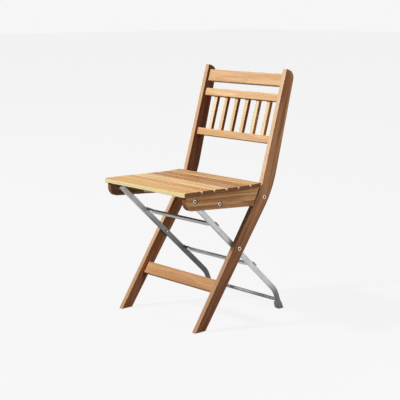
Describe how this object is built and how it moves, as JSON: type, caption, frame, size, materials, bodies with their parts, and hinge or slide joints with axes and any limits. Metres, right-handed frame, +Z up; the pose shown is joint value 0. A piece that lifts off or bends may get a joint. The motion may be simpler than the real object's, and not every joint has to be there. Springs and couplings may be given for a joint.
{
  "type": "folding patio chair",
  "caption": "Folding armless patio chair: bent wooden stiles with a spindle back, a slatted seat on side rails, and crossing tubular steel legs that fold with the seat.",
  "frame": {"origin": "on the floor, in the middle of the open chair's outline", "axes": "+Z up, the chair's front faces -Y, X runs across the chair"},
  "size_m": [0.4108, 0.4911, 0.83],
  "materials": {
    "frame_wood": "oiled, satin",
    "seat_wood": "oiled, satin",
    "leg_steel": "galvanised, dull",
    "bolt_steel": "zinc plated, bright",
    "rivet_steel": "blackened, dull",
    "foot_plastic": "moulded, dull",
    "washer_nylon": "moulded, satin"
  },
  "bodies": {
    "frame": {"stile_left": "frame_wood", "stile_right": "frame_wood", "back_top_rail": "frame_wood", "back_middle_rail": "frame_wood", "back_lower_rail": "frame_wood", "front_stretcher": "frame_wood", "back_spindle_1": "frame_wood", "back_spindle_2": "frame_wood", "back_spindle_3": "frame_wood", "back_spindle_4": "frame_wood", "back_spindle_5": "frame_wood", "back_spindle_6": "frame_wood", "link_pivot_bolts": "bolt_steel", "link_pivot_nuts": "bolt_steel", "leg_pivot_bolts": "bolt_steel", "leg_pivot_nuts": "bolt_steel"},
    "links": {"link_strap_left": "leg_steel", "link_strap_right": "leg_steel", "link_washers": "washer_nylon"},
    "seat": {"seat_rail_left": "seat_wood", "seat_rail_right": "seat_wood", "seat_slat_1": "seat_wood", "seat_slat_2": "seat_wood", "seat_slat_3": "seat_wood", "seat_slat_4": "seat_wood", "seat_slat_5": "seat_wood", "seat_slat_6": "seat_wood", "slat_screws": "bolt_steel", "seat_front_bolts": "bolt_steel", "seat_link_bolts": "bolt_steel", "seat_link_nuts": "bolt_steel"},
    "leg_frame": {"steel_leg_left": "leg_steel", "steel_leg_right": "leg_steel", "upper_crossbar": "leg_steel", "middle_crossbar": "leg_steel", "foot_crossbar": "leg_steel", "leg_top_studs": "bolt_steel", "crossbar_rivets": "rivet_steel", "leg_foot_left": "foot_plastic", "leg_foot_right": "foot_plastic", "leg_pivot_bushes": "washer_nylon", "leg_pivot_washers": "washer_nylon"}
  },
  "joints": [
    {"name": "link_fold", "type": "hinge", "parent": "frame", "child": "links", "pos_m": [0, 0.1143, 0.409], "axis": [-1, 0, 0], "range_deg": [0, 87.33]},
    {"name": "seat_fold", "type": "hinge", "parent": "links", "child": "seat", "pos_m": [0, -0.0874, 0.4097], "axis": [1, 0, 0], "range_deg": [0, 168.88]},
    {"name": "leg_fold", "type": "hinge", "parent": "frame", "child": "leg_frame", "pos_m": [0, 0.0004, 0.25], "axis": [-1, 0, 0], "range_deg": [0, 61.78]}
  ],
  "couplings": [
    {"joint": "seat_fold", "follows": "link_fold", "ratio": 1.9338},
    {"joint": "leg_fold", "follows": "link_fold", "ratio": 0.70737}
  ]
}
